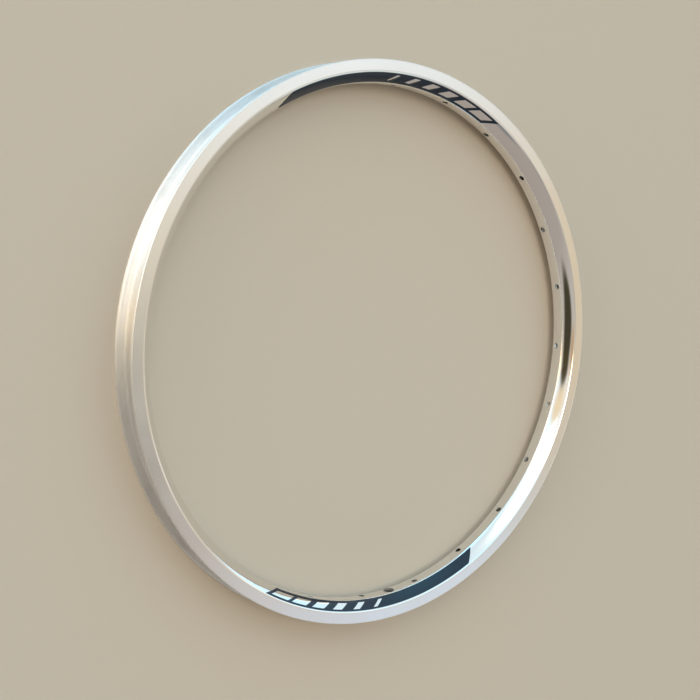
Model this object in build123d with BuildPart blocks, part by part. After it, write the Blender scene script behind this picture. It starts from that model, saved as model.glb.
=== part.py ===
# A 20 inch (406) bicycle rim: a rolled double-wall aluminium hoop with flat brake tracks, hooked tyre
# flanges, a convex facet down to the spoke bed, and two black film decals on its front side.
# The hoop lies on its side: its axis is Z, its middle plane is Z = 0 and its front side faces up.
# Millimetres and degrees. Angles run anticlockwise from X, seen from the front.
import os
from math import cos, hypot, radians, sin

from build123d import *

# Tyre side: the bead seats carry the tyre, the flanges hold it in with a small hook
bead_seat_diameter = 405.6
flange_height = 6.5
flange_thickness = 2.1
hook_depth = 0.4
hook_height = 3.2
hook_slope = 1.6
lip_rounding = 0.5
bead_seat_width = 2.6
bead_corner_rounding = 0.6
well_depth = 2.6
well_width = 11.6

# Outside of the hoop: brake tracks, facets and the spoke bed
rim_width = 26.0
rim_depth = 16.3
track_height = 8.6
track_rounding = 2.4
facet_bulge = 0.45
bed_width = 9.4
bed_rounding = 2.2
bed_crown = 0.25

# Walls round the hollow chamber
tyre_wall = 1.1
side_wall = 1.7
facet_wall = 1.35
bed_wall = 2.1

# Drilling: staggered spoke holes, their nipple holes through the tyre wall, and the valve hole
spoke_count = 24
spoke_hole_diameter = 4.4
spoke_stagger = 1.2
nipple_hole_diameter = 8.0
valve_hole_diameter = 8.5
valve_angle = 277.5

# Decals: black film on the front facet, with slanted windows that widen towards one end
glue_thickness = 0.15
film_thickness = 0.2
film_edge_gap = 0.15
film_border = 1.0
first_window = 1.0
decal_arc = 57.8
decal_lean = 3.4
window_count = 6
window_pitch = 5.6
widest_window = 4.6
window_step = 0.7
decal_angles = {"decal_opposite_valve": 90, "decal_at_valve": 270}

# Radii and half widths that follow from the sizes above
bead_radius = bead_seat_diameter / 2
outer_radius = bead_radius + flange_height
track_radius = outer_radius - track_height
bed_radius = outer_radius - rim_depth
bed_edge_radius = bed_radius + bed_crown
well_radius = bead_radius - well_depth
half_width = rim_width / 2
flange_inside = half_width - flange_thickness
hook_inside = flange_inside - hook_depth
bed_half = bed_width / 2
well_half = well_width / 2


def both_halves(points):
    """Closed outline from its points on the front half, repeated on the back half."""
    return points + [(radius, -height) for radius, height in reversed(points)]


def polar_point(radius, angle):
    """Point of the middle plane at a radius and an angle."""
    return (radius * cos(radians(angle)), radius * sin(radians(angle)))


def section_plane(angle):
    """Plane through the axis: its x runs out along the angle and its y up along the axis."""
    across = (cos(radians(angle)), sin(radians(angle)), 0)
    return Plane(origin=(0, 0, 0), x_dir=across, z_dir=(across[1], -across[0], 0))


def drill_place(angle, radius, height):
    """Place of a radial hole that is drilled outwards, with its mouth facing the axis."""
    inwards = (-cos(radians(angle)), -sin(radians(angle)), 0)
    x, y = polar_point(radius, angle)
    return Plane(origin=(x, y, height), x_dir=(0, 0, 1), z_dir=inwards)


# Inside faces of the facet walls, as straight lines at the wall's thickness from the facets' chords
facet_slope = (half_width - bed_half) / (track_radius - bed_edge_radius)
facet_shift = facet_wall * hypot(1, facet_slope)


def chamber_half(radius):
    """Half width of the chamber between the facet walls at a radius."""
    return bed_half + facet_slope * (radius - bed_edge_radius) - facet_shift


floor_radius = bed_radius + bed_wall
roof_radius = well_radius - tyre_wall
shoulder_radius = bead_radius - tyre_wall
shoulder_half = half_width - side_wall
seat_start = flange_inside - bead_seat_width

# Hollow chamber of the section: between the facet walls, and no wider than the side walls leave it
with BuildSketch() as chamber:
    with BuildLine():
        chamber_outline = [
            (floor_radius, chamber_half(floor_radius)),
            (shoulder_radius, chamber_half(shoulder_radius)),
            (shoulder_radius, seat_start),
            (roof_radius, well_half),
        ]
        Polyline(*both_halves(chamber_outline), close=True)
    make_face()
    with Locations((shoulder_radius, 0)):
        Rectangle(2 * rim_depth, 2 * shoulder_half, mode=Mode.INTERSECT)

# Rim: one rolled and joined extrusion, drilled from the spoke bed and from the tyre well. The section is
# turned from midway between two spoke holes, where a real hoop is joined too
spoke_step = 360 / spoke_count
with BuildPart() as rim:
    with BuildSketch(section_plane(spoke_step / 2)) as section:
        with BuildLine():
            bed = ThreePointArc((bed_edge_radius, -bed_half), (bed_radius, 0), (bed_edge_radius, bed_half))
            front_facet = SagittaArc(bed @ 1, (track_radius, half_width), facet_bulge)
            back_facet = SagittaArc((track_radius, -half_width), bed @ 0, facet_bulge)
            Polyline(
                front_facet @ 1,
                (outer_radius, half_width),
                (outer_radius, -half_width),
                back_facet @ 0,
            )
        make_face()
        fillet(section.vertices().group_by(Axis.X)[1], track_rounding)
        fillet(section.vertices().group_by(Axis.X)[0], bed_rounding)
        with BuildLine():
            channel = [
                (well_radius, well_half),
                (bead_radius, seat_start),
                (bead_radius, flange_inside),
                (outer_radius - hook_height, flange_inside),
                (outer_radius - hook_height + hook_slope, hook_inside),
                (outer_radius + flange_height, hook_inside),
            ]
            corners = [bead_corner_rounding] * 4 + [0, 0]
            FilletPolyline(*both_halves(channel), radius=corners + corners[::-1], close=True)
        make_face(mode=Mode.SUBTRACT)
        fillet(section.vertices().group_by(Axis.X)[-1], lip_rounding)
        add(chamber.sketch_local, mode=Mode.SUBTRACT)
    revolve(axis=Axis.Z)

    spoke_places = [
        drill_place(number * spoke_step, bed_radius, spoke_stagger if number % 2 else -spoke_stagger)
        for number in range(spoke_count)
    ]
    nipple_places = [place.offset(bed_radius - (roof_radius + well_radius) / 2) for place in spoke_places]
    with Locations(*spoke_places):
        Hole(spoke_hole_diameter / 2, 2 * bed_wall)
    with Locations(*nipple_places):
        Hole(nipple_hole_diameter / 2, tyre_wall)
    with Locations(drill_place(valve_angle, bed_radius, 0)):
        Hole(valve_hole_diameter / 2, rim_depth)

rim.part.label = "rim"
os.makedirs("parts", exist_ok=True)
export_step(rim.part, "parts/rim.step")


def slanted_panel(start, end, inside, outside):
    """Edges in plan of a panel between two radii, its inner edge turned on by the decal's lean."""
    middle = (start + end) / 2
    with BuildLine() as outline:
        outer_edge = ThreePointArc(
            polar_point(outside, start), polar_point(outside, middle), polar_point(outside, end)
        )
        inner_edge = ThreePointArc(
            polar_point(inside, end + decal_lean),
            polar_point(inside, middle + decal_lean),
            polar_point(inside, start + decal_lean),
        )
        Line(outer_edge @ 1, inner_edge @ 0)
        Line(inner_edge @ 1, outer_edge @ 0)
    return outline.line.edges()


# Decals: film laid on the flat of the front facet, between its two rounded edges
facet_edge = section.sketch_local.edges().sort_by_distance(front_facet @ 0.5)[0]
edge_share = film_edge_gap / facet_edge.length
film_line = [facet_edge @ place for place in (edge_share, 0.5, 1 - edge_share)]
film_out = [(point - facet_edge.arc_center).normalized() for point in film_line]
film_back = [point + out * glue_thickness for point, out in zip(film_line, film_out)]
film_front = [point + out * film_thickness for point, out in zip(film_back, film_out)]
film_radii = sorted(point.X for point in film_back + film_front)
film_inside = film_radii[0]
film_outside = film_radii[-1]
window_inside = film_inside + film_border
window_outside = film_outside - film_border

for name, centre in decal_angles.items():
    decal_start = centre - decal_arc / 2
    decal_end = centre + decal_arc / 2
    with BuildPart() as decal:
        with BuildSketch(section_plane(decal_start)):
            with BuildLine():
                back = ThreePointArc(*film_back)
                front = ThreePointArc(*film_front)
                Line(back @ 0, front @ 0)
                Line(back @ 1, front @ 1)
            make_face()
        revolve(axis=Axis.Z, revolution_arc=decal_arc + decal_lean)
        with BuildSketch():
            make_face(slanted_panel(decal_start, decal_end, film_inside, film_outside))
            for number in range(window_count):
                window_start = decal_start + first_window + number * window_pitch
                window_end = window_start + widest_window - number * window_step
                window = slanted_panel(window_start, window_end, window_inside, window_outside)
                make_face(window, mode=Mode.SUBTRACT)
        extrude(amount=rim_width, mode=Mode.INTERSECT)
    decal.part.label = name
    export_step(decal.part, f"parts/{name}.step")
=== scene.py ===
# A polished 20 inch bicycle rim that lies on its back side on a pale floor.
# Metres, in the part's own frame: the hoop's axis is Z and its front side faces up.
from math import cos, hypot, pi, radians, sin, tan

import bmesh
import bpy
import numpy as np
from mathutils import Matrix, Vector


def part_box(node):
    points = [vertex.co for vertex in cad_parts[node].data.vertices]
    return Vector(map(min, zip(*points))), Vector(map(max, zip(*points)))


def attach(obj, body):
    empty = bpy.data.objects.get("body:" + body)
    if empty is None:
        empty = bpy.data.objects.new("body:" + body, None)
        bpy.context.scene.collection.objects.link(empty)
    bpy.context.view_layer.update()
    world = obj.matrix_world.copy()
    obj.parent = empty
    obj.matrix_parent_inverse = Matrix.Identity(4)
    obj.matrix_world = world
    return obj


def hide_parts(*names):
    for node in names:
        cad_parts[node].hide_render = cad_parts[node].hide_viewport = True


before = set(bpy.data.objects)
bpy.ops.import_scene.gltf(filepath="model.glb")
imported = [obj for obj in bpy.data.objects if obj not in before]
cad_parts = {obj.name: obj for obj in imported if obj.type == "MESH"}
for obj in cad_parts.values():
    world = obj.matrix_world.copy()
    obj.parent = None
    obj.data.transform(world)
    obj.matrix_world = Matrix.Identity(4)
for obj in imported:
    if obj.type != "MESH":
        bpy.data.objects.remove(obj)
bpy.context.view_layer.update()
mm = 0.001


# Hoop: one double-wall aluminium extrusion, rolled to a ring and joined, with hooked flanges for the tyre.
# The brake tracks are machined, the facets and spoke bed polished, and the lips and tyre channel left satin.
# The spoke holes are drilled from the bed, to both sides in turn, with wide nipple holes in the tyre well.

hoop_low, hoop_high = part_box("rim")
outer_radius = hoop_high.x
half_width = hoop_high.z

bed_radius = outer_radius - 16.3 * mm
bed_half = 4.7 * mm
bed_crown = 0.25 * mm
bed_straight = 1.1 * mm
bed_rounding = 2.2 * mm
track_radius = outer_radius - 8.6 * mm
track_rounding = 2.4 * mm
facet_bulge = 0.45 * mm
facet_straight = 1.05 * mm
lip_rounding = 0.5 * mm
flange_inside = half_width - 2.1 * mm
hook_inside = flange_inside - 0.4 * mm
hook_radius = outer_radius - 3.2 * mm
hook_slope = 1.6 * mm
hook_rounding = 0.6 * mm
bead_radius = outer_radius - 6.5 * mm
bead_rounding = 0.6 * mm
seat_start = flange_inside - 2.6 * mm
well_radius = bead_radius - 2.6 * mm
well_half = 5.8 * mm

tyre_wall = 1.1 * mm
side_wall = 1.7 * mm
facet_wall = 1.35 * mm
bed_wall = 2.1 * mm


def bulged_edge(start, end, bulge, straight):
    """Corner and radius whose rounding bulges an edge to its left, short of a straight bit at each end."""
    start = Vector(start)
    end = Vector(end)
    chord = (end - start).length
    reach = chord / 2 - straight
    slope = bulge / (chord / 2 - reach / 2)
    left = Vector((start.y - end.y, end.x - start.x)) / chord
    corner = (start + end) / 2 + left * slope * chord / 2
    return corner.x, corner.y, reach / slope


bed_edge = (bed_radius + bed_crown, bed_half)
track_edge = (track_radius, half_width)
bed_middle = bulged_edge((bed_edge[0], -bed_half), bed_edge, bed_crown, bed_straight)
facet_middle = bulged_edge(bed_edge, track_edge, facet_bulge, facet_straight)
front_corners = [
    (*bed_edge, bed_rounding),
    facet_middle,
    (*track_edge, track_rounding),
    (outer_radius, half_width, lip_rounding),
    (outer_radius, hook_inside, lip_rounding),
    (hook_radius + hook_slope, hook_inside, hook_rounding),
    (hook_radius, flange_inside, hook_rounding),
    (bead_radius, flange_inside, bead_rounding),
    (bead_radius, seat_start, bead_rounding),
    (well_radius, well_half, bead_rounding),
]
back_corners = [(radius, -height, rounding) for radius, height, rounding in reversed(front_corners)]
corners = [bed_middle] + front_corners + back_corners
facet_corner = corners.index(facet_middle)
outline_step = radians(6)


def rounded_outline(corners, step):
    """Points and normals of a closed clockwise outline with rounded corners, and each corner's places."""
    points = []
    normals = []
    places = []
    for number, (x, y, rounding) in enumerate(corners):
        here = Vector((x, y))
        before = (here - Vector(corners[number - 1][:2])).normalized()
        after = (Vector(corners[(number + 1) % len(corners)][:2]) - here).normalized()
        turn = before.angle_signed(after)
        reach = rounding * tan(abs(turn) / 2)
        steps = max(2, round(abs(turn) / step))
        first_normal = Vector((-before.y, before.x))
        side = 1 if turn > 0 else -1
        centre = here - before * reach - first_normal * rounding * side
        places.append(range(len(points), len(points) + steps + 1))
        for part in range(steps + 1):
            normal = Matrix.Rotation(-turn * part / steps, 2) @ first_normal
            points.append(centre + normal * rounding * side)
            normals.append(normal)
    return np.array(points), np.array(normals), places


outline, outline_normals, outline_places = rounded_outline(corners, outline_step)

facet_slope = (half_width - bed_half) / (track_radius - bed_edge[0])
facet_shift = facet_wall * hypot(1, facet_slope)
shoulder_half = half_width - side_wall
elbow_radius = bed_edge[0] + (shoulder_half - bed_half + facet_shift) / facet_slope
chamber_floor = bed_radius + bed_wall
chamber_front = [
    (well_radius - tyre_wall, well_half),
    (bead_radius - tyre_wall, seat_start),
    (bead_radius - tyre_wall, shoulder_half),
    (elbow_radius, shoulder_half),
    (chamber_floor, bed_half + facet_slope * (chamber_floor - bed_edge[0]) - facet_shift),
]
chamber = chamber_front + [(radius, -height) for radius, height in reversed(chamber_front)]

section = bpy.data.curves.new("hoop_section", "CURVE")
section.dimensions = "3D"
for points in (outline, chamber):
    spline = section.splines.new("POLY")
    spline.points.add(len(points) - 1)
    for point, (radius, height) in zip(spline.points, points):
        point.co = (radius - outer_radius, -height, 0, 1)
    spline.use_cyclic_u = True
section_object = bpy.data.objects.new("hoop_section", section)
bpy.context.scene.collection.objects.link(section_object)


def add_node(tree, kind, inputs=(), **settings):
    """New node with its settings, and its inputs given as values or as sockets to link."""
    node = tree.nodes.new(kind)
    for name, value in settings.items():
        setattr(node, name, value)
    for name, value in dict(inputs).items():
        if isinstance(value, bpy.types.NodeSocket):
            tree.links.new(value, node.inputs[name])
        else:
            node.inputs[name].default_value = value
    return node


def worked_out(tree, operation, *values):
    """Output of a Math node."""
    return add_node(tree, "ShaderNodeMath", dict(enumerate(values)), operation=operation).outputs[0]


def from_axis(tree, x, y):
    """Distance from the hoop's axis."""
    flat = add_node(tree, "ShaderNodeCombineXYZ", {0: x, 1: y}).outputs[0]
    return add_node(tree, "ShaderNodeVectorMath", {0: flat}, operation="LENGTH").outputs["Value"]


def hoop_places(tree):
    """Place of a point on the hoop, its place on the section alone, and its radius."""
    place = add_node(tree, "ShaderNodeTexCoord").outputs["Object"]
    x, y, height = add_node(tree, "ShaderNodeSeparateXYZ", {0: place}).outputs
    radius = from_axis(tree, x, y)
    section_place = add_node(tree, "ShaderNodeCombineXYZ", {0: radius, 1: height}).outputs[0]
    return place, section_place, radius


def noise(tree, place, scale, detail):
    """Noise over a place."""
    inputs = {"Vector": place, "Scale": scale, "Detail": detail}
    return add_node(tree, "ShaderNodeTexNoise", inputs).outputs["Fac"]


def mapped(tree, value, start, end, at_start, at_end):
    """A value that runs between two others while the given one runs from its start to its end."""
    inputs = {"Value": value, "From Min": start, "From Max": end, "To Min": at_start, "To Max": at_end}
    return add_node(tree, "ShaderNodeMapRange", inputs).outputs[0]


def relief(tree, height, strength, distance, **under):
    """Normal of a surface with a fine relief, which may lie on another relief."""
    inputs = {"Height": height, "Strength": strength, "Distance": distance, **under}
    return add_node(tree, "ShaderNodeBump", inputs).outputs[0]


def alloy(name, colour):
    """Bare aluminium: its material, its node tree and its shader node."""
    material = bpy.data.materials.new(name)
    material.use_nodes = True
    shader = material.node_tree.nodes["Principled BSDF"]
    shader.inputs["Base Color"].default_value = (*colour, 1)
    shader.inputs["Metallic"].default_value = 1
    return material, material.node_tree, shader


# Polished alloy: long die lines from the extrusion run round the hoop, under a hand-polished surface that
# is a little wavy, so that mirrored shapes wander. The bed is polished less than the facets
polished_alloy, tree, shader = alloy("polished_alloy", (0.87, 0.865, 0.855))
polish_range = (0.05, 0.12)
bed_roughness = 0.22
bed_blend = bed_radius + 1.0 * mm
place, section_place, radius = hoop_places(tree)
die_lines = noise(tree, section_place, scale=2600, detail=2)
waves = noise(tree, place, scale=38, detail=1)
smears = noise(tree, place, scale=14, detail=3)
polish = mapped(tree, smears, 0.35, 0.7, *polish_range)
bed_polish = mapped(tree, radius, bed_radius + bed_crown, bed_blend, bed_roughness, 0)
tree.links.new(worked_out(tree, "ADD", polish, bed_polish), shader.inputs["Roughness"])
die_relief = relief(tree, die_lines, strength=0.03, distance=0.02 * mm)
waves_relief = relief(tree, waves, strength=0.25, distance=0.4 * mm, Normal=die_relief)
tree.links.new(waves_relief, shader.inputs["Normal"])

# Brake track: turned flat with a fine tool, which leaves close concentric lines
track_alloy, tree, shader = alloy("track_alloy", (0.84, 0.84, 0.835))
satin_range = (0.17, 0.23)
place, section_place = hoop_places(tree)[:2]
tool_lines = noise(tree, section_place, scale=3800, detail=2)
handling = noise(tree, place, scale=24, detail=4)
tree.links.new(mapped(tree, handling, 0.3, 0.7, *satin_range), shader.inputs["Roughness"])
tool_relief = relief(tree, tool_lines, strength=0.12, distance=0.03 * mm)
tree.links.new(tool_relief, shader.inputs["Normal"])

# Channel alloy: left as it came from the die, satin and streaked along the hoop
channel_alloy, tree, shader = alloy("channel_alloy", (0.9, 0.9, 0.89))
dull_range = (0.44, 0.54)
section_place = hoop_places(tree)[1]
streaks = noise(tree, section_place, scale=1500, detail=3)
tree.links.new(mapped(tree, streaks, 0.3, 0.7, *dull_range), shader.inputs["Roughness"])
streaks_relief = relief(tree, streaks, strength=0.1, distance=0.05 * mm)
tree.links.new(streaks_relief, shader.inputs["Normal"])
along_hoop = add_node(tree, "ShaderNodeTangent", direction_type="RADIAL", axis="Z").outputs[0]
tree.links.new(along_hoop, shader.inputs["Tangent"])
shader.inputs["Anisotropic"].default_value = 0.9
shader.inputs["Anisotropic Rotation"].default_value = 0.25

# Drilled alloy: raw metal on the walls of the holes
drilled_alloy, tree, shader = alloy("drilled_alloy", (0.62, 0.61, 0.6))
shader.inputs["Roughness"].default_value = 0.42

# The tree sweeps the section round the hoop and drills it
hoop_tree = bpy.data.node_groups.new("rolled_and_drilled_hoop", "GeometryNodeTree")
hoop_inputs = {
    "Hoop Radius": ("NodeSocketFloat", outer_radius),
    "Hoop Steps": ("NodeSocketInt", 432),
    "Half Width": ("NodeSocketFloat", half_width),
    "Spoke Holes": ("NodeSocketInt", 24),
    "Stagger": ("NodeSocketFloat", 1.2 * mm),
    "Bed Radius": ("NodeSocketFloat", bed_radius),
    "Well Radius": ("NodeSocketFloat", well_radius),
    "Channel Half Width": ("NodeSocketFloat", flange_inside),
    "Spoke Hole Radius": ("NodeSocketFloat", 2.2 * mm),
    "Nipple Hole Radius": ("NodeSocketFloat", 4.0 * mm),
    "Valve Hole Radius": ("NodeSocketFloat", 4.25 * mm),
    "Valve Angle": ("NodeSocketFloat", radians(277.5)),
    "Edge Break": ("NodeSocketFloat", 0.2 * mm),
}
hoop_tree.interface.new_socket("Geometry", in_out="INPUT", socket_type="NodeSocketGeometry")
hoop_tree.interface.new_socket("Geometry", in_out="OUTPUT", socket_type="NodeSocketGeometry")
hoop_identifiers = {
    name: hoop_tree.interface.new_socket(name, in_out="INPUT", socket_type=kind).identifier
    for name, (kind, value) in hoop_inputs.items()
}
given = hoop_tree.nodes.new("NodeGroupInput").outputs

drill_sides = 40
spoke_drill_depth = 8 * mm
nipple_drill_depth = 4 * tyre_wall
valve_drill_depth = 30 * mm


def with_finish(geometry, finish, **chosen):
    """Geometry with a finish on all its faces, or on chosen ones."""
    inputs = {"Geometry": geometry, "Material": finish, **chosen}
    return add_node(hoop_tree, "GeometryNodeSetMaterial", inputs).outputs[0]


def drill(radius, depth):
    """A cylinder that gives its cuts the raw metal."""
    inputs = {"Vertices": drill_sides, "Radius": radius, "Depth": depth}
    cylinder = add_node(hoop_tree, "GeometryNodeMeshCylinder", inputs)
    return with_finish(cylinder.outputs["Mesh"], drilled_alloy)


def edge_breaker(radius):
    """A cone that takes the sharp edge off a hole of that radius, tip outwards."""
    wider = 3.0
    narrower = 1.0
    wide = worked_out(hoop_tree, "MULTIPLY_ADD", given["Edge Break"], wider, radius)
    narrow = worked_out(hoop_tree, "MULTIPLY_ADD", given["Edge Break"], -narrower, radius)
    depth = worked_out(hoop_tree, "MULTIPLY", given["Edge Break"], wider + narrower)
    inputs = {"Vertices": drill_sides, "Radius Bottom": wide, "Radius Top": narrow, "Depth": depth}
    cone = add_node(hoop_tree, "GeometryNodeMeshCone", inputs).outputs["Mesh"]
    sunk = worked_out(hoop_tree, "MULTIPLY", given["Edge Break"], 1.0 - wider)
    offset = add_node(hoop_tree, "ShaderNodeCombineXYZ", {"Z": sunk}).outputs[0]
    moved = add_node(hoop_tree, "GeometryNodeTransform", {"Geometry": cone, "Translation": offset})
    return with_finish(moved.outputs["Geometry"], drilled_alloy)


def set_radially(geometry, count, radius, first_angle, stagger):
    """Copies of a drill round the hoop, pointing outwards and set to the back and the front in turn."""
    number = hoop_tree.nodes.new("GeometryNodeInputIndex").outputs[0]
    step = worked_out(hoop_tree, "DIVIDE", 2 * pi, count)
    angle = worked_out(hoop_tree, "MULTIPLY_ADD", number, step, first_angle)
    x = worked_out(hoop_tree, "MULTIPLY", worked_out(hoop_tree, "COSINE", angle), radius)
    y = worked_out(hoop_tree, "MULTIPLY", worked_out(hoop_tree, "SINE", angle), radius)
    front = worked_out(hoop_tree, "MODULO", number, 2.0)
    side = worked_out(hoop_tree, "MULTIPLY_ADD", front, 2.0, -1.0)
    z = worked_out(hoop_tree, "MULTIPLY", side, stagger)
    position = add_node(hoop_tree, "ShaderNodeCombineXYZ", {0: x, 1: y, 2: z}).outputs[0]
    turn = add_node(hoop_tree, "ShaderNodeCombineXYZ", {1: pi / 2, 2: angle}).outputs[0]
    points = add_node(hoop_tree, "GeometryNodePoints", {"Count": count, "Position": position}).outputs[0]
    inputs = {"Points": points, "Instance": geometry, "Rotation": turn}
    return add_node(hoop_tree, "GeometryNodeInstanceOnPoints", inputs).outputs[0]


circle_inputs = {"Resolution": given["Hoop Steps"], "Radius": given["Hoop Radius"]}
circle = add_node(hoop_tree, "GeometryNodeCurvePrimitiveCircle", circle_inputs).outputs[0]
path = add_node(hoop_tree, "GeometryNodeSetCurveNormal", {"Curve": circle}, mode="Z_UP").outputs[0]
sweep_inputs = {"Curve": path, "Profile Curve": given["Geometry"]}
swept = add_node(hoop_tree, "GeometryNodeCurveToMesh", sweep_inputs).outputs[0]

spoke_drill = drill(given["Spoke Hole Radius"], spoke_drill_depth)
nipple_drill = drill(given["Nipple Hole Radius"], nipple_drill_depth)
valve_drill = drill(given["Valve Hole Radius"], valve_drill_depth)
spoke_breaker = edge_breaker(given["Spoke Hole Radius"])
drillings = [
    set_radially(spoke_drill, given["Spoke Holes"], given["Bed Radius"], 0.0, given["Stagger"]),
    set_radially(nipple_drill, given["Spoke Holes"], given["Well Radius"], 0.0, given["Stagger"]),
    set_radially(valve_drill, 1, given["Bed Radius"], given["Valve Angle"], 0.0),
    set_radially(spoke_breaker, given["Spoke Holes"], given["Bed Radius"], 0.0, given["Stagger"]),
]
drilled = with_finish(swept, polished_alloy)
for drills in drillings:
    boolean = add_node(hoop_tree, "GeometryNodeMeshBoolean", operation="DIFFERENCE", solver="MANIFOLD")
    hoop_tree.links.new(drilled, boolean.inputs["Mesh 1"])
    hoop_tree.links.new(drills, boolean.inputs["Mesh 2"])
    drilled = boolean.outputs["Mesh"]
finished = add_node(hoop_tree, "GeometryNodeRealizeInstances", {"Geometry": drilled}).outputs[0]

track_tolerance = 0.01 * mm
channel_tolerance = 0.02 * mm
position = hoop_tree.nodes.new("GeometryNodeInputPosition").outputs[0]
x, y, height = add_node(hoop_tree, "ShaderNodeSeparateXYZ", {0: position}).outputs
radius = from_axis(hoop_tree, x, y)
from_middle = worked_out(hoop_tree, "ABSOLUTE", height)
track_limit = worked_out(hoop_tree, "SUBTRACT", given["Half Width"], track_tolerance)
on_track = worked_out(hoop_tree, "GREATER_THAN", from_middle, track_limit)
well_limit = worked_out(hoop_tree, "SUBTRACT", given["Well Radius"], channel_tolerance)
above_well = worked_out(hoop_tree, "GREATER_THAN", radius, well_limit)
flange_limit = worked_out(hoop_tree, "ADD", given["Channel Half Width"], channel_tolerance)
between_flanges = worked_out(hoop_tree, "LESS_THAN", from_middle, flange_limit)
in_channel = worked_out(hoop_tree, "MULTIPLY", above_well, between_flanges)
lip_limit = worked_out(hoop_tree, "SUBTRACT", given["Hoop Radius"], lip_rounding)
on_lip = worked_out(hoop_tree, "GREATER_THAN", radius, lip_limit)
for faces, finish in ((on_track, track_alloy), (in_channel, channel_alloy), (on_lip, channel_alloy)):
    finished = with_finish(finished, finish, Selection=faces)
hoop_result = hoop_tree.nodes.new("NodeGroupOutput")
hoop_tree.links.new(finished, hoop_result.inputs[0])

sweep = section_object.modifiers.new("sweep_and_drill", "NODES")
sweep.node_group = hoop_tree
for name, (kind, value) in hoop_inputs.items():
    sweep[hoop_identifiers[name]] = value
evaluated = section_object.evaluated_get(bpy.context.evaluated_depsgraph_get())
hoop_mesh = bpy.data.meshes.new_from_object(evaluated)
hoop_mesh.name = "polished_hoop"
section_object.modifiers.remove(sweep)
bpy.data.objects.remove(section_object)

sharp_angle = radians(30)
outline_tolerance = 0.03 * mm
least_length = 1e-18


def mirror_smooth(mesh, outline, outline_normals):
    """Give faces that lie on a turned outline its exact normals, so that mirrored shapes run true."""
    mesh.shade_smooth()
    mesh.set_sharp_from_angle(angle=sharp_angle)
    points = np.empty(len(mesh.vertices) * 3)
    mesh.vertices.foreach_get("co", points)
    points = points.reshape(-1, 3)
    flat = np.stack([np.hypot(points[:, 0], points[:, 1]), points[:, 2]], 1)
    ends = np.roll(outline, -1, 0)
    end_normals = np.roll(outline_normals, -1, 0)
    nearest = np.full(len(flat), np.inf)
    normals = np.zeros((len(flat), 2))
    for start, end, normal, end_normal in zip(outline, ends, outline_normals, end_normals):
        along = end - start
        share = np.clip(((flat - start) @ along) / (along @ along + least_length), 0, 1)
        distance = np.linalg.norm(flat - start - share[:, None] * along, axis=1)
        closer = distance < nearest
        nearest[closer] = distance[closer]
        normals[closer] = normal + share[closer, None] * (end_normal - normal)
    outwards = points[:, :2] / flat[:, :1]
    smooth = np.concatenate([normals[:, :1] * outwards, normals[:, 1:]], 1)
    smooth /= np.linalg.norm(smooth, axis=1)[:, None]
    loop_points = np.empty(len(mesh.loops), np.int32)
    mesh.loops.foreach_get("vertex_index", loop_points)
    loop_counts = np.empty(len(mesh.polygons), np.int32)
    mesh.polygons.foreach_get("loop_total", loop_counts)
    face_normals = np.empty(len(mesh.polygons) * 3)
    mesh.polygons.foreach_get("normal", face_normals)
    flat_normals = np.repeat(face_normals.reshape(-1, 3), loop_counts, axis=0)
    loop_normals = smooth[loop_points]
    agrees = (loop_normals * flat_normals).sum(1) > cos(sharp_angle)
    on_outline = agrees & (nearest[loop_points] < outline_tolerance)
    loop_normals[~on_outline] = 0
    mesh.normals_split_custom_set(loop_normals.tolist())


mirror_smooth(hoop_mesh, outline, outline_normals)
hoop = bpy.data.objects.new("polished_hoop", hoop_mesh)
bpy.context.scene.collection.objects.link(hoop)
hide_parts("rim")
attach(hoop, "root")


# Decals: black gloss film on the front facet, at the valve and opposite it, with slanted windows that show
# the polished metal. They are cut to shape and rubbed down by hand, with a thin layer of glue.

glue_thickness = 0.15 * mm
film_thickness = 0.2 * mm
film_border = 1.0 * mm
decal_arc = 57.8
decal_lean = 3.4
first_window = 1.0
window_count = 6
window_pitch = 5.6
widest_window = 4.6
window_step = 0.7
cell_angle = 0.7
border_cells = 3
middle_cells = 8
film_edge_angle = radians(40)

decal_film = bpy.data.materials.new("decal_film")
decal_film.use_nodes = True
tree = decal_film.node_tree
shader = tree.nodes["Principled BSDF"]
shader.inputs["Base Color"].default_value = (0.003, 0.014, 0.030, 1)
shader.inputs["Roughness"].default_value = 0.16
shader.inputs["Specular IOR Level"].default_value = 0.45
place = add_node(tree, "ShaderNodeTexCoord").outputs["Object"]
grain = noise(tree, place, scale=900, detail=2)
tree.links.new(relief(tree, grain, strength=0.05, distance=0.05 * mm), shader.inputs["Normal"])

facet_places = list(outline_places[facet_corner])
facet_points = outline[facet_places]
facet_normals = outline_normals[facet_places]
facet_radii = facet_points[:, 0]
border_share = film_border / (facet_radii[-1] - facet_radii[0])


def film_point(share, angle, lift):
    """Point above the front facet, at a share of the way out over it and at an angle on its outer edge."""
    place = facet_radii[0] + share * (facet_radii[-1] - facet_radii[0])
    height = np.interp(place, facet_radii, facet_points[:, 1])
    inwards = np.interp(place, facet_radii, facet_normals[:, 0])
    upwards = np.interp(place, facet_radii, facet_normals[:, 1])
    radius = place + inwards * lift
    turned = radians(angle + decal_lean * (1 - share))
    return (radius * cos(turned), radius * sin(turned), height + upwards * lift)


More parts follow.
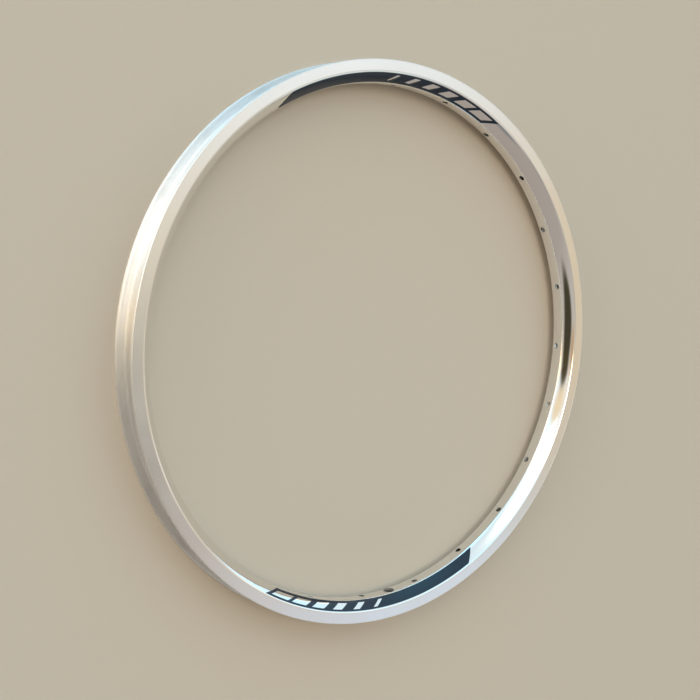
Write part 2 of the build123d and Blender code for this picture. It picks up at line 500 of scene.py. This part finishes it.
def decal_mesh(name, centre):
    """Film in a grid of cells, without the cells of the windows, with its edges closed."""
    start = centre - decal_arc / 2
    window_edges = []
    for number in range(window_count):
        window_start = start + first_window + number * window_pitch
        window_edges.append((window_start, window_start + widest_window - number * window_step))
    marks = [start] + [edge for window in window_edges for edge in window] + [start + decal_arc]
    angles = []
    for low, high in zip(marks, marks[1:]):
        steps = max(1, round((high - low) / cell_angle))
        angles += list(np.linspace(low, high, steps, endpoint=False))
    angles.append(marks[-1])
    inner_border = np.linspace(0, border_share, border_cells, endpoint=False)
    middle = np.linspace(border_share, 1 - border_share, middle_cells, endpoint=False)
    outer_border = np.linspace(1 - border_share, 1, border_cells + 1)
    shares = np.concatenate([inner_border, middle, outer_border])

    def is_window(row, column):
        share = (shares[row] + shares[row + 1]) / 2
        angle = (angles[column] + angles[column + 1]) / 2
        in_arc = any(low < angle < high for low, high in window_edges)
        return in_arc and border_share < share < 1 - border_share

    points = []
    for lift in (glue_thickness, glue_thickness + film_thickness):
        points += [film_point(share, angle, lift) for share in shares for angle in angles]
    layer = len(shares) * len(angles)
    top_faces = []
    for row in range(len(shares) - 1):
        for column in range(len(angles) - 1):
            if not is_window(row, column):
                corner = layer + row * len(angles) + column
                top_faces.append((corner, corner + len(angles), corner + len(angles) + 1, corner + 1))
    edges = {(face[side - 1], face[side]) for face in top_faces for side in range(4)}
    outside = [(one, two) for one, two in edges if (two, one) not in edges]
    bottom_faces = [tuple(point - layer for point in reversed(face)) for face in top_faces]
    side_faces = [(one, one - layer, two - layer, two) for one, two in sorted(outside)]
    mesh = bpy.data.meshes.new(name)
    mesh.from_pydata(points, [], top_faces + bottom_faces + side_faces)
    mesh.validate()
    mesh.materials.append(decal_film)
    mesh.shade_smooth()
    mesh.set_sharp_from_angle(angle=film_edge_angle)
    return mesh


for node, centre in (("decal_opposite_valve", 90), ("decal_at_valve", 270)):
    mesh = decal_mesh(node.replace("decal", "film"), centre)
    film = bpy.data.objects.new(mesh.name, mesh)
    bpy.context.scene.collection.objects.link(film)
    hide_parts(node)
    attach(film, "root")


# Floor: a plain pale sheet that keeps the hoop's soft shadow. Far away a second sheet sweeps up from it like
# a studio backdrop, which fills the low views too. The polished metal doesn't mirror that one.

floor_height = hoop_low.z - 0.1 * mm
flat_reach = 5.0
floor_reach = 12.0
sheet_cells = 48
backdrop_rise = 0.75
backdrop_sunk = 10 * mm
pale_floor = bpy.data.materials.new("pale_floor")
pale_floor.use_nodes = True
shader = pale_floor.node_tree.nodes["Principled BSDF"]
shader.inputs["Base Color"].default_value = (0.485, 0.422, 0.345, 1)
shader.inputs["Roughness"].default_value = 0.8
shader.inputs["Specular IOR Level"].default_value = 0.2
for name, sunk, rise in (("pale_floor", 0, 0), ("pale_backdrop", backdrop_sunk, backdrop_rise)):
    sheet_form = bmesh.new()
    bmesh.ops.create_grid(sheet_form, x_segments=sheet_cells, y_segments=sheet_cells, size=floor_reach)
    for point in sheet_form.verts:
        beyond = (min(point.co.length, floor_reach) - flat_reach) / (floor_reach - flat_reach)
        point.co.z = floor_height - sunk + rise * max(0, beyond) ** 2
    sheet_mesh = bpy.data.meshes.new(name)
    sheet_form.to_mesh(sheet_mesh)
    sheet_form.free()
    sheet_mesh.shade_smooth()
    sheet_mesh.materials.append(pale_floor)
    sheet = bpy.data.objects.new(name, sheet_mesh)
    sheet.visible_glossy = not rise
    bpy.context.scene.collection.objects.link(sheet)


# Light: soft daylight, cool and bright towards the top of the hoop and a warm grey towards the valve, with
# soft patches of sky, wall, wood and ceiling for the polished metal to mirror, and one wide panel.

world = bpy.data.worlds.new("soft_daylight")
bpy.context.scene.world = world
world.use_nodes = True
tree = world.node_tree
direction = add_node(tree, "ShaderNodeTexCoord").outputs["Generated"]
towards_y = add_node(tree, "ShaderNodeSeparateXYZ", {0: direction}).outputs[1]
share = worked_out(tree, "MULTIPLY_ADD", towards_y, 0.5, 0.5)
ramp = add_node(tree, "ShaderNodeValToRGB", {"Fac": share})
room_tones = [
    (-1.0, (0.40, 0.35, 0.31)),
    (-0.6, (0.43, 0.38, 0.34)),
    (-0.35, (0.54, 0.50, 0.45)),
    (-0.2, (0.57, 0.52, 0.46)),
    (-0.08, (0.65, 0.59, 0.49)),
    (0.03, (0.76, 0.68, 0.56)),
    (0.09, (0.88, 0.83, 0.74)),
    (0.15, (0.97, 1.00, 1.00)),
    (0.3, (0.95, 1.10, 1.15)),
    (0.5, (0.78, 1.14, 1.34)),
    (0.7, (0.82, 1.00, 1.08)),
    (1.0, (0.78, 0.90, 0.94)),
]
while len(ramp.color_ramp.elements) < len(room_tones):
    ramp.color_ramp.elements.new(0.5)
for element, (towards, tone) in zip(ramp.color_ramp.elements, room_tones):
    element.position = (towards + 1) / 2
    element.color = (*tone, 1)


def with_patch(room, azimuth, elevation, half_wide, half_high, softness, tone):
    """The room's colour with a soft-edged oval patch of another tone, its place and size in degrees."""
    around = radians(azimuth)
    up = radians(elevation)
    across = Vector((-sin(around), cos(around), 0)) / sin(radians(half_wide))
    along = Vector((-sin(up) * cos(around), -sin(up) * sin(around), cos(up))) / sin(radians(half_high))
    shares = []
    for axis in (across, along):
        product = add_node(tree, "ShaderNodeVectorMath", {0: direction, 1: axis}, operation="DOT_PRODUCT")
        shares.append(product.outputs["Value"])
    offset = add_node(tree, "ShaderNodeCombineXYZ", dict(enumerate(shares))).outputs[0]
    reach = add_node(tree, "ShaderNodeVectorMath", {0: offset}, operation="LENGTH").outputs["Value"]
    edge = {"Value": reach, "From Min": 1 + softness, "From Max": 1 - softness}
    inside = add_node(tree, "ShaderNodeMapRange", edge, interpolation_type="SMOOTHSTEP").outputs[0]
    tones = {"Factor": inside, 6: room, 7: (*tone, 1)}
    return add_node(tree, "ShaderNodeMix", tones, data_type="RGBA").outputs[2]


# Azimuth, elevation, half width, half height, softness of the edge, and tone
room_patches = {
    "pale wall": (306, 52, 11, 7, 0.45, (0.84, 0.83, 0.79)),
    "rosy wall": (333, 57, 5, 4.5, 0.5, (0.70, 0.56, 0.46)),
    "bright cloud": (13, 57, 7, 6, 0.5, (1.05, 1.06, 1.05)),
    "deep sky": (72, 17, 12, 13, 0.5, (0.80, 1.38, 1.66)),
    "low blue": (104, 7, 14, 9, 0.4, (1.0, 2.5, 3.8)),
    "low wall": (10, 14, 5.5, 14, 0.4, (0.64, 0.57, 0.49)),
    "low gap": (2, 14, 2.2, 12, 0.4, (1.05, 1.02, 0.96)),
    "cool doorway": (335, 44, 7, 9, 0.6, (0.78, 0.87, 1.00)),
    "pale door": (325, 24, 17, 17, 0.5, (0.72, 0.82, 0.78)),
    "dark frame": (281, 35, 7, 7, 0.4, (0.25, 0.25, 0.25)),
    "dark rail": (267, 51, 9, 6, 0.4, (0.24, 0.24, 0.25)),
    "warm wall": (358, 43, 9, 6, 0.6, (0.78, 0.63, 0.43)),
    "cream wall": (0, 62, 7, 5, 0.5, (0.90, 0.78, 0.59)),
    "grey beam": (339, 63, 6, 6, 0.5, (0.35, 0.325, 0.28)),
    "grey ceiling": (285, 82, 11, 9, 0.5, (0.46, 0.42, 0.35)),
    "warm ceiling": (20, 81, 7, 6, 0.5, (0.88, 0.76, 0.55)),
    "blue sky": (70, 60, 18, 15, 0.5, (0.76, 1.24, 1.58)),
    "panel glow": (124, 41, 22, 19, 0.35, (1.28, 1.33, 1.31)),
    "tan ceiling": (157, 66, 16, 13, 0.35, (0.95, 0.80, 0.62)),
    "golden wood": (160, 40, 6.5, 12, 0.4, (0.94, 0.77, 0.52)),
    "amber wood": (186, 55, 6, 5, 0.5, (0.54, 0.37, 0.21)),
    "dim corner": (194, 38, 19.2, 10.5, 0.25, (0.06, 0.052, 0.03)),
    "dim edge": (176, 39, 6, 9, 0.35, (0.07, 0.055, 0.025)),
    "low gold": (175, 13, 8, 11, 0.4, (3.6, 2.65, 1.5)),
    "low white": (150, 13, 12, 11, 0.4, (3.4, 3.3, 3.1)),
    "high gold": (172, 71, 4, 8, 0.4, (8.4, 6.4, 3.7)),
    "bright sky": (142, 71, 9, 10, 0.35, (8.4, 8.15, 7.7)),
}
room = ramp.outputs[0]
for patch in room_patches.values():
    room = with_patch(room, *patch)
tree.links.new(room, tree.nodes["Background"].inputs["Color"])

panel = bpy.data.lights.new("soft_panel", "AREA")
panel.shape = "RECTANGLE"
panel.size = 1.6
panel.size_y = 1.2
panel.energy = 8
panel.color = (0.96, 1.0, 0.98)
panel_object = bpy.data.objects.new("soft_panel", panel)
panel_object.location = (-1.1, 1.6, 1.7)
panel_object.rotation_euler = (-panel_object.location).to_track_quat("-Z", "Y").to_euler()
bpy.context.scene.collection.objects.link(panel_object)


# Camera: looks down at the hoop from the left of its front, as the photograph does at a standing one.

lens_length = 60.79
turned_left = radians(36.64)
raised = radians(5.69)
camera_shift = (-0.02103, -0.00364)
camera_distance = 0.88984
camera = bpy.data.cameras.new("camera")
camera.lens = lens_length
camera.clip_end = 100
camera_object = bpy.data.objects.new("camera", camera)
aim = Matrix.Rotation(-raised, 4, "X") @ Matrix.Rotation(-turned_left, 4, "Y")
camera_object.matrix_world = aim @ Matrix.Translation((*camera_shift, camera_distance))
bpy.context.scene.collection.objects.link(camera_object)
bpy.context.scene.camera = camera_object
bpy.context.scene.view_settings.view_transform = "Standard"
